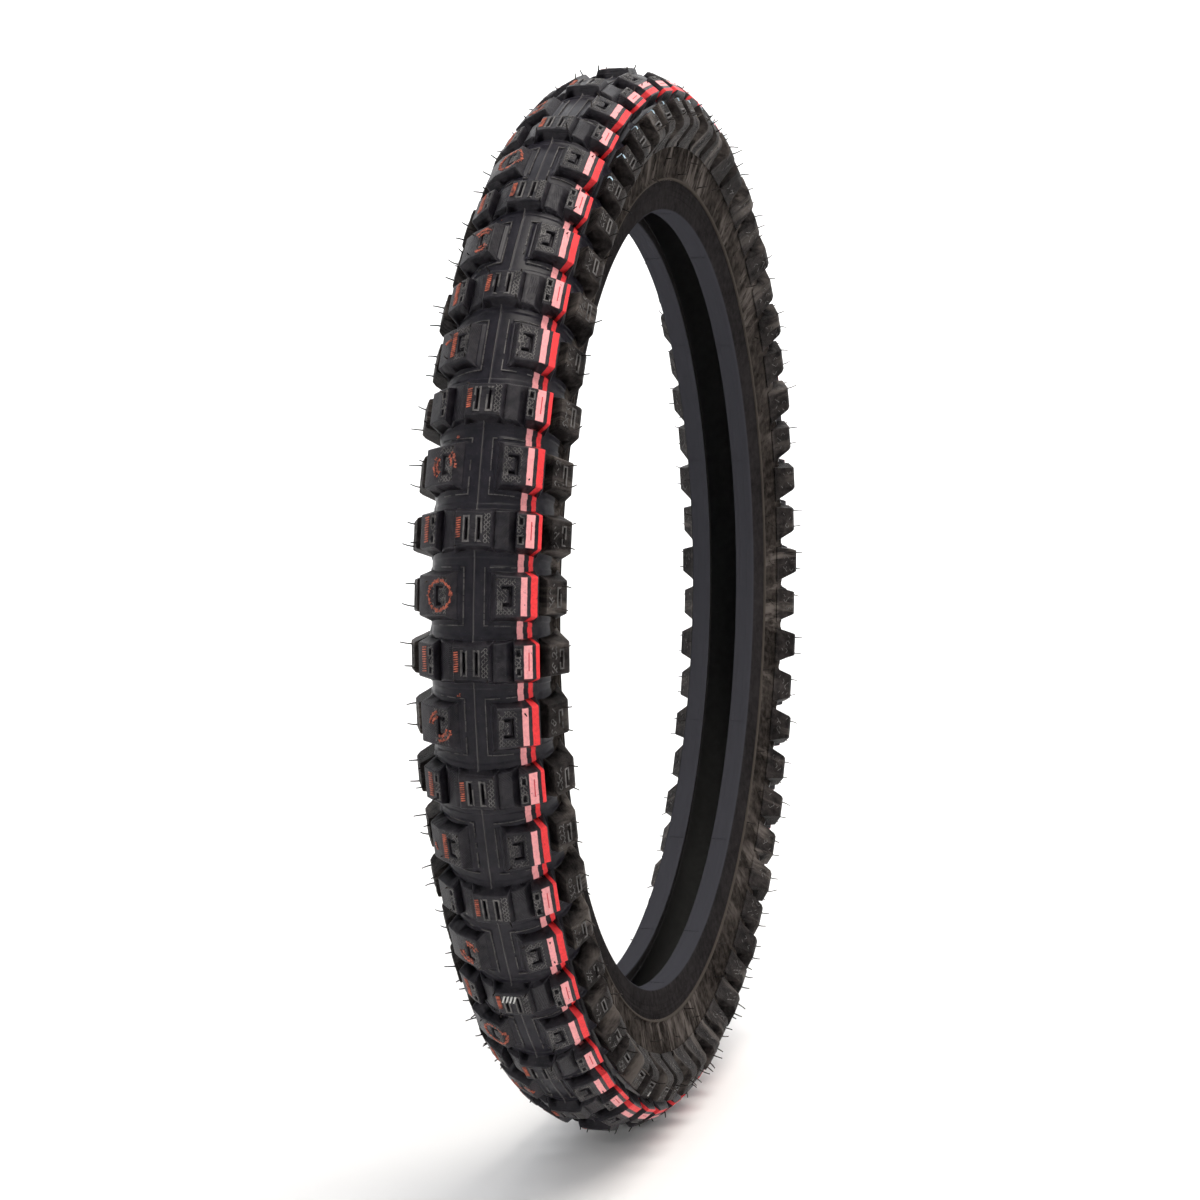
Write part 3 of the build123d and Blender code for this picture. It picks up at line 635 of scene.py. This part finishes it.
soften("centre_knobs", "centre_knob_blocks", knob_a_rubber, 0.75)
for word in ("left", "right"):
    soften("tie_bars_" + word, "tie_bar_blocks_" + word, knob_a_rubber, 0.7)
    soften("intermediate_knobs_" + word, "intermediate_knob_blocks_" + word, knob_a_rubber,
           0.7)
    soften("inner_knobs_" + word, "inner_knob_blocks_" + word, knob_b_rubber, 0.75)
    soften("shoulder_knobs_a_" + word, "shoulder_blocks_a_" + word, shoulder_rubber, 0.95)
    soften("shoulder_knobs_b_" + word, "shoulder_blocks_b_" + word, shoulder_rubber, 0.95)
    soften("sidewall_ribs_" + word, "sidewall_rib_bars_" + word, side_rubber, 0.3, 0.5)


# ---------------------------------------------------------------- vent spews: thin bent rubber hairs
def hairs(name, roots, thick=0.47):
    """Each root: (turn, x along the tread, y, r, lean from +r towards +y, length)."""
    verts, faces = [], []
    for turn, x, y, r, lean, length in roots:
        a = math.radians(lean)
        base = Vector((-x, y, r))
        out = Vector((0, math.sin(a), math.cos(a)))
        droop = Vector((random.uniform(-1, 1), random.uniform(-0.5, 0.5), random.uniform(-1, 1))) * 0.35
        side = out.orthogonal().normalized()
        other = out.cross(side)
        tip = to_turn(turn) @ (base + out * length) * MM
        if tip.z < cad_box[0][2] + 0.002:
            continue
        start = len(verts)
        rings = 5
        for i in range(rings):
            t = i / (rings - 1)
            centre = base + out * (length * t - 0.3) + droop * length * t * t * 0.8
            rad = thick * (1.25 if i == 0 else 1.0 - 0.25 * t)
            for k in range(6):
                b = k * math.pi / 3
                p = centre + (side * math.cos(b) + other * math.sin(b)) * rad
                verts.append(to_turn(turn) @ p * MM)
        for i in range(rings - 1):
            for k in range(6):
                m = (k + 1) % 6
                low, high = start + i * 6, start + (i + 1) * 6
                faces.append((low + k, low + m, high + m, high + k))
        faces.append(tuple(start + k for k in reversed(range(6))))
        faces.append(tuple(start + (rings - 1) * 6 + k for k in range(6)))
    return new_piece(name, verts, faces, shoulder_rubber, "tread_rubber", 80)


for side, word in SIDES:
    roots = []
    for k in range(PITCHES):
        for row, tip in ((0.0, SHOULDER_A_TIP), (PITCH / 2, SHOULDER_B_TIP)):
            turn = k * PITCH + row
            for x in (-6.6, 6.4):
                if random.random() < 0.9:
                    roots.append((turn, x, side * (tip - 1.5), 330.0, side * random.uniform(58, 84),
                                  random.uniform(4.6, 7.4)))
                if random.random() < 0.45:
                    roots.append((turn, x * 0.9, side * (tip - 7.0), 341.0, side * random.uniform(20, 70),
                                  random.uniform(1.5, 4.5)))
                if random.random() < 0.35:
                    roots.append((turn, x * 1.2, side * 28.5, 352.6, side * random.uniform(10, 60),
                                  random.uniform(1.2, 3.6)))
            for x in (-9.6, 9.6):
                if random.random() < 0.4:
                    edge = (9.8, 361.2) if row == 0.0 else (15.5, 359.0)
                    roots.append((turn, x, side * edge[0], edge[1], side * random.uniform(-30, 40),
                                  random.uniform(1.6, 4.6)))
            y, r = contour(rim_s - (5.0 if row else 15.5) + random.uniform(-1.0, 1.0))
            if random.random() < 0.6:
                roots.append((turn + random.uniform(-1.8, 1.8), 0.0, side * y, r,
                              side * random.uniform(70, 108), random.uniform(4.0, 8.4)))
    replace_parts(hairs("vent_hairs_" + word, roots), "vent_spews_" + word)


# ---------------------------------------------------------------- worn marks, scuffs and painted highlights: thin strokes on the knobs
PROFILE_INNER = [(10.6, 355.6), (14.3, 359.8), (28.6, 352.8), (35.6, 346.6)]
PROFILE_MID = [(21.5, 349.0), (23.8, 355.6), (28.6, 352.8), (36.2, 346.2)]
PROFILE_CENTRE = [(-10.6, 361.1), (-5.4, 361.8), (5.4, 361.8), (10.6, 361.1)]
PROFILE_FLOOR = [contour(at) for at in (7.0, 12.0, 17.0, 22.0)]


def on_profile(profile, v, lift):
    """Point (y, r) v mm along a knob's top outline, lifted off it."""
    for (y0, r0), (y1, r1) in zip(profile, profile[1:]):
        seg = math.dist((y0, r0), (y1, r1))
        if v <= seg or (y1, r1) == profile[-1]:
            t = v / seg
            ny, nr = (r0 - r1) / seg, (y1 - y0) / seg
            return y0 + t * (y1 - y0) + ny * lift, r0 + t * (r1 - r0) + nr * lift
        v -= seg
    return profile[-1]


def ink(name, marks, material, lift=0.09):
    """Thin raised strokes; each mark: (turn, side, profile, [(x, v) corner points of one quad])."""
    verts, faces = [], []
    for turn, side, profile, quad in marks:
        start = len(verts)
        for height in (lift, -0.1):
            for x, v in quad:
                y, r = on_profile(profile, v, height)
                verts.append(to_turn(turn) @ Vector((-x, side * y, r)) * MM)
        n = len(quad)
        faces.append(tuple(start + i for i in range(n)))
        faces.append(tuple(start + n + i for i in reversed(range(n))))
        for i in range(n):
            j = (i + 1) % n
            faces.append((start + i, start + n + i, start + n + j, start + j))
    piece = new_piece(name, verts, faces, material, "tread_rubber", 30)
    bm = bmesh.new()
    bm.from_mesh(piece.data)
    bmesh.ops.recalc_face_normals(bm, faces=bm.faces)
    bm.to_mesh(piece.data)
    bm.free()
    return piece


def worn_arc(turn, profile, cx, cv, radius, width, start, sweep):
    """An arc of uneven worn strokes on the left half."""
    out = []
    count = max(6, round(sweep / 6.5))
    for i in range(count):
        if random.random() < 0.12:
            continue
        a0 = math.radians(start + sweep * i / count)
        a1 = a0 + math.radians(sweep / count) * random.uniform(0.6, 1.05)
        r0 = radius - width * random.uniform(0.1, 0.9)
        r1 = radius + width * random.uniform(0.1, 0.9)
        out.append((turn, 1, profile, [(cx + rr * math.cos(a), cv + rr * math.sin(a))
                                       for rr, a in ((r0, a0), (r1, a0), (r1 - 0.2, a1), (r0 + 0.2, a1))]))
    return out


def hatch_bar(turn, side, profile, v0, v1, x0, x1, count, gaps):
    """A bar of slanted strokes across the knob."""
    out = []
    step = (x1 - x0) / count
    for i in range(count):
        if random.random() < gaps:
            continue
        x = x0 + i * step
        w = step * 0.5
        lean = step * 0.3
        out.append((turn, side, profile, [(x, v0), (x + w, v0), (x + w + lean, v1), (x + lean, v1)]))
    return out


def frame_bars(turn, side, profile, cx, cv, inner_x, inner_v, width):
    """A raised rectangular rim round a slot: four bars."""
    ox, ov = inner_x + width, inner_v + width
    corners_in = [(-inner_x, -inner_v), (inner_x, -inner_v), (inner_x, inner_v), (-inner_x, inner_v)]
    corners_out = [(-ox, -ov), (ox, -ov), (ox, ov), (-ox, ov)]
    out = []
    for i in range(4):
        j = (i + 1) % 4
        for t0, t1 in ((0.0, 0.36), (0.34, 0.68), (0.66, 1.0)):
            if random.random() < 0.12:
                continue
            quad = [(a[0] + (b[0] - a[0]) * t, a[1] + (b[1] - a[1]) * t)
                    for a, b, t in ((corners_in[i], corners_in[j], t0), (corners_out[i], corners_out[j], t0),
                                    (corners_out[i], corners_out[j], t1), (corners_in[i], corners_in[j], t1))]
            out.append((turn, side, profile, [(cx + x + random.uniform(-0.14, 0.14),
                                               cv + v + random.uniform(-0.14, 0.14)) for x, v in quad]))
    return out


def hatch_patch(turn, side, profile, x0, x1, v0, v1, step, keep, clear=()):
    """Crossing short bars of a moulded hatch, worn away in places."""
    out = []
    for i in range(int((x1 - x0) / step)):
        for k in range(int((v1 - v0) / step)):
            x = x0 + (i + 0.5) * step
            v = v0 + (k + 0.5) * step
            if random.random() > keep or any(a < x < b and c < v < d for a, b, c, d in clear):
                continue
            lean = math.radians(38 if (i + k) % 2 else -38)
            half = step * 0.56
            wide = 0.22
            c, d = math.cos(lean), math.sin(lean)
            quad = [(x + u * c - w * d, v + u * d + w * c)
                    for u, w in ((-half, -wide), (half, -wide), (half, wide), (-half, wide))]
            out.append((turn, side, profile, quad))
    return out


def shoulder_profile(tip):
    """Outer top outline of a shoulder knob."""
    return [(tip - 7.0, 341.2), (tip, 326.9)]


for side, word in SIDES:
    rims, hatches = [], []
    for k in range(PITCHES):
        a_turn, b_turn = k * PITCH, k * PITCH + PITCH / 2
        rims += frame_bars(b_turn, side, PROFILE_INNER, random.uniform(-5, 5), 8.0, 1.6, 0.7, 0.7)
        hatches += hatch_patch(b_turn, side, PROFILE_INNER, -10.2, 10.2, 6.2, 17.6, 1.2, 0.8,
                               [(-6.4, 6.4, 8.3, 15.6)])
        hatches += hatch_patch(b_turn, side, PROFILE_INNER, -4.2, 4.2, 8.6, 12.8, 1.1, 0.6)
        hatches += hatch_patch(a_turn, side, PROFILE_MID, -8.6, 8.6, 7.3, 12.2, 1.25, 0.75,
                               [(-7.4, -3.0, 8.0, 11.4), (3.0, 7.4, 8.0, 11.4)])
        for x in (-5.2, 5.2):
            rims += frame_bars(a_turn, side, PROFILE_MID, x, 9.65, 2.1, 1.25, 0.55)
        for turn, tip in ((a_turn, SHOULDER_A_TIP), (b_turn, SHOULDER_B_TIP)):
            rims += frame_bars(turn, side, shoulder_profile(tip), 0.0, 9.93, 5.0, 0.95, 0.8)
            hatches += hatch_patch(turn, side, shoulder_profile(tip), -7.6, 7.6, 1.6, 6.4, 1.5, 0.45)
            flank = [(tip - 0.6, 322.9), (36.6, 311.8)]
            hatches += hatch_patch(turn, side, flank, -8.0, 8.0, 1.5, 12.0, 2.1, 0.22)
    ink("slot_rims_" + word, rims, scuffed_highlit_a, 0.38)
    ink("hatch_bars_" + word, hatches, scuffed_highlit_b, 0.26)

rims, hatches = [], []
for k in range(PITCHES):
    for v in (6.95, 14.35):
        rims += frame_bars(k * PITCH, 1, PROFILE_CENTRE, 0.0, v, 6.7, 1.1, 0.85)
    hatches += hatch_patch(k * PITCH, 1, PROFILE_CENTRE, -8.8, 8.8, 0.3, 4.3, 1.3, 0.9)
ink("slot_rims_centre", rims, scuffed_highlit_a, 0.4)
ink("hatch_bars_centre", hatches, scuffed_highlit_a, 0.3)

orange_marks = []
for k in range(PITCHES):
    a_turn, b_turn = k * PITCH, k * PITCH + PITCH / 2
    kind = k % 4
    start = random.uniform(0, 360)
    if kind == 2:
        orange_marks += worn_arc(b_turn, PROFILE_INNER, 0.0, 12.0, 8.4, 1.5, start, 360)
    elif kind == 0:
        orange_marks += hatch_bar(b_turn, 1, PROFILE_INNER, 15.9, 18.9, -8, 8, 12, 0.0)
        orange_marks += worn_arc(b_turn, PROFILE_INNER, 1.0, 22.0, 5.0, 1.3, start, 60)
    else:
        for radius in (5.6, 8.2):
            orange_marks += worn_arc(b_turn, PROFILE_INNER, 0.0, 13.0, radius, 1.4, start, 95)
            orange_marks += worn_arc(b_turn, PROFILE_INNER, 0.0, 13.0, radius, 1.3, start + 180, 70)
    orange_marks += hatch_bar(a_turn, 1, PROFILE_MID, 13.6, 17.4, -8, 7, 11, 0.0) if kind != 1 else []
    orange_marks += hatch_bar(a_turn, 1, PROFILE_CENTRE, 17.9, 20.5, -6.6, 5.4, 9, 0.0)
    if k % 2:
        orange_marks += worn_arc(a_turn + 2.9, PROFILE_FLOOR, random.uniform(-1, 2), 6.0, 3.8, 1.4, start, 80)
ink("worn_orange_marks", orange_marks, orange_ink, 0.42)

# painted highlight along the edges of the moulded step round each inner block: pale strips where the step's
# edge catches the light
FRAME_START = 3.0             # from the crown along the contour, where its profile starts
PROFILE_FRAME = [contour(FRAME_START + 3.0 * i) for i in range(9)]
FRAME_X, FRAME_IN, FRAME_OUT, FRAME_W = 16.4, 5.9, 24.0, 0.42
steps = []
for side in (1, -1):
    for k in range(PITCHES):
        b_turn = k * PITCH + PITCH / 2
        for i in range(10):
            x0 = -FRAME_X + 2 * FRAME_X * i / 10
            x1 = x0 + 2 * FRAME_X / 10 * random.uniform(0.8, 1.03)
            v = FRAME_IN - FRAME_START + random.uniform(-0.05, 0.05)
            if random.random() > 0.12:
                steps.append((b_turn, side, PROFILE_FRAME,
                              [(x0, v), (x1, v), (x1, v + FRAME_W), (x0, v + FRAME_W)]))
        for x in (-FRAME_X, FRAME_X):
            for i in range(6):
                v0 = FRAME_IN - FRAME_START + (FRAME_OUT - FRAME_IN) * i / 6
                v1 = v0 + (FRAME_OUT - FRAME_IN) / 6 * random.uniform(0.8, 1.03)
                if random.random() > 0.2:
                    steps.append((b_turn, side, PROFILE_FRAME,
                                  [(x, v0), (x + FRAME_W, v0), (x + FRAME_W, v1), (x, v1)]))
ink("block_step_edge_highlights", steps, scuffed_highlit_a, 0.74)

chalk_marks = [(18 * PITCH, 1, PROFILE_CENTRE, [(-7.5, v), (-7.5, v + 1.2), (-1.5, v + 3.4), (-1.5, v + 2.5)])
               for v in (7.0, 9.3, 11.6, 13.9)]
for turn, x, v in ((20 * PITCH, -3.0, 3.0), (20 * PITCH, 1.5, 5.5), (20.5 * PITCH, 4.0, 2.0)):
    chalk_marks.append((turn, -1, shoulder_profile(SHOULDER_B_TIP),
                        [(x, v), (x + 1.2, v + 0.2), (x + 2.2, v + 3.4), (x + 1.2, v + 3.3)]))
ink("chalk_strokes", chalk_marks, chalk, 0.48)

pink_slots, glint_marks = [], []
for k in range(PITCHES):
    pink_slots.append((k * PITCH, -1, PROFILE_MID, [(-5.5, 15.6), (5.0, 15.5), (5.0, 16.1), (-5.5, 16.2)]))
    # pale blue strokes across the shoulder knobs' outer edges on the upper turns are painted glints, light
    # reflected off the shiny edges
    for turn, tip in ((k * PITCH, SHOULDER_A_TIP), (k * PITCH + PITCH / 2, SHOULDER_B_TIP)):
        if 30 < turn < 130 and random.random() < 0.8:
            x, v = random.uniform(-6, 5), random.uniform(4.5, 7.5)
            edge = [(31.9, 335.4)] + shoulder_profile(tip)
            corner = math.dist(edge[0], edge[1])
            for v0, v1 in ((v, corner - 0.3), (corner + 0.3, corner + random.uniform(2.0, 4.5))):
                glint_marks.append((turn, -1, edge, [(x, v0), (x + 1.1, v0), (x + 1.2, v1), (x + 0.1, v1)]))
ink("painted_edge_glints", glint_marks, edge_glint_paint, 0.35)
ink("pink_face_lines", pink_slots, red_ink, 0.1)

# ---------------------------------------------------------------- small raised ticks on the bead base
TICKS_PER_TURN = 16
for side, word in SIDES:
    verts, faces = [], []
    for i in range(TICKS_PER_TURN):
        start = len(verts)
        for depth in (0.35, -0.4):
            for y, x in ((TOE_Y + 0.4, -0.4), (HEEL_Y - 0.2, -0.4), (HEEL_Y - 0.2, 0.4), (TOE_Y + 0.4, 0.4)):
                point = Vector((x, side * y, BEAD_R - depth)) * MM
                verts.append(Matrix.Rotation(math.radians(360 * i / TICKS_PER_TURN + 4), 4, "Y") @ point)
        faces += [(start, start + 1, start + 2, start + 3), (start + 7, start + 6, start + 5, start + 4)]
        faces += [(start + j, start + 4 + j, start + 4 + (j + 1) % 4, start + (j + 1) % 4) for j in range(4)]
    new_piece("bead_base_ticks_" + word, verts, faces, bead_rubber, "bead_rubber", 30)

# ---------------------------------------------------------------- carried-over inner CAD nodes
for node, material in {
    "carcass_ply_inner": ply_cord, "carcass_ply_outer": ply_cord, "breaker_strip": ply_cord,
    "tread_base": casing_rubber, "bead_wires_left": bead_wire, "bead_wires_right": bead_wire,
    "bead_core_left": casing_rubber, "bead_core_right": casing_rubber,
    "bead_filler_left": casing_rubber, "bead_filler_right": casing_rubber,
}.items():
    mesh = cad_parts[node].data
    mesh.materials.clear()
    mesh.materials.append(material)

# ---------------------------------------------------------------- floor, light, camera
GROUND_GAP = 0.0005           # m, between the tyre's lowest point and the floor
GROUND = cad_box[0][2] - GROUND_GAP
STAGE_FLAT, STAGE_ROUND, STAGE_HIGH = 2.8, 1.6, 3.0


def bowl_profile():
    """Flat floor out from the middle, a large round corner, then the wall: (distance, height)."""
    pts = [(STAGE_FLAT * i / 6, 0.0) for i in range(1, 7)]
    for i in range(1, 17):
        a = math.radians(90 * i / 16)
        pts.append((STAGE_FLAT + STAGE_ROUND * math.sin(a), STAGE_ROUND * (1 - math.cos(a))))
    return pts + [(STAGE_FLAT + STAGE_ROUND, STAGE_ROUND + STAGE_HIGH * i / 4) for i in range(1, 5)]


profile, around = bowl_profile(), 96
verts = [(d * math.cos(2 * math.pi * k / around), d * math.sin(2 * math.pi * k / around), GROUND + h)
         for d, h in profile for k in range(around)]
faces = [(i + k, i + around + k, i + around + (k + 1) % around, i + (k + 1) % around)
         for i in range(0, (len(profile) - 1) * around, around) for k in range(around)]
faces.append(tuple(range(around)))
mesh = bpy.data.meshes.new("studio_bowl")
mesh.from_pydata(verts, [], faces)
mesh.polygons.foreach_set("use_smooth", [True] * len(faces))
bowl = bpy.data.objects.new("studio_bowl", mesh)
bpy.context.scene.collection.objects.link(bowl)
mesh.materials.append(plain("studio white", (0.88, 0.88, 0.88), (0.90, 0.90, 0.90), 3, 0.8, 0.0, 0.0))

world = bpy.data.worlds.new("studio")
bpy.context.scene.world = world
world.use_nodes = True
world.node_tree.nodes["Background"].inputs["Color"].default_value = (0.92, 0.95, 1.0, 1)
world.node_tree.nodes["Background"].inputs["Strength"].default_value = 0.5


def lamp(name, place, target, size, power, colour):
    """Rectangular soft light aimed at a point."""
    data = bpy.data.lights.new(name, "AREA")
    data.shape = "RECTANGLE"
    data.size, data.size_y = size
    data.energy = power
    data.color = colour
    obj = bpy.data.objects.new(name, data)
    bpy.context.scene.collection.objects.link(obj)
    obj.location = place
    obj.rotation_mode = "QUATERNION"
    obj.rotation_quaternion = (Vector(target) - Vector(place)).to_track_quat("-Z", "Y")


lamp("top softbox", (-0.5, -0.6, 2.3), (0, 0, 0.0), (1.6, 1.6), 62, (1.0, 0.95, 0.88))
lamp("wall wash", (1.9, 0.5, 3.0), (4.3, 1.2, 0.6), (3.0, 1.6), 120, (1.0, 1.0, 1.0))
lamp("side softbox", (0.2, -2.2, 1.6), (0, 0, 0.0), (1.0, 1.0), 6, (1.0, 0.93, 0.86))

SENSOR, LENS = 36, 76.72      # mm
camera_data = bpy.data.cameras.new("camera")
camera_data.sensor_width = SENSOR
camera_data.lens = LENS
camera = bpy.data.objects.new("camera", camera_data)
bpy.context.scene.collection.objects.link(camera)
CAMERA_AT = Vector((-1.7089, -0.4574, 0.1775))
CAMERA_LOOK = Vector((0.95737, 0.27105, -0.09985))
CAMERA_UP = Vector((0.09919, 0.01618, 0.99494))
back = -CAMERA_LOOK.normalized()
right = CAMERA_UP.cross(back).normalized()
up = back.cross(right)
camera.matrix_world = Matrix((
    (right.x, up.x, back.x, CAMERA_AT.x),
    (right.y, up.y, back.y, CAMERA_AT.y),
    (right.z, up.z, back.z, CAMERA_AT.z),
    (0, 0, 0, 1)))
camera_data.clip_end = 60
bpy.context.scene.camera = camera
bpy.context.scene.view_settings.view_transform = "Standard"
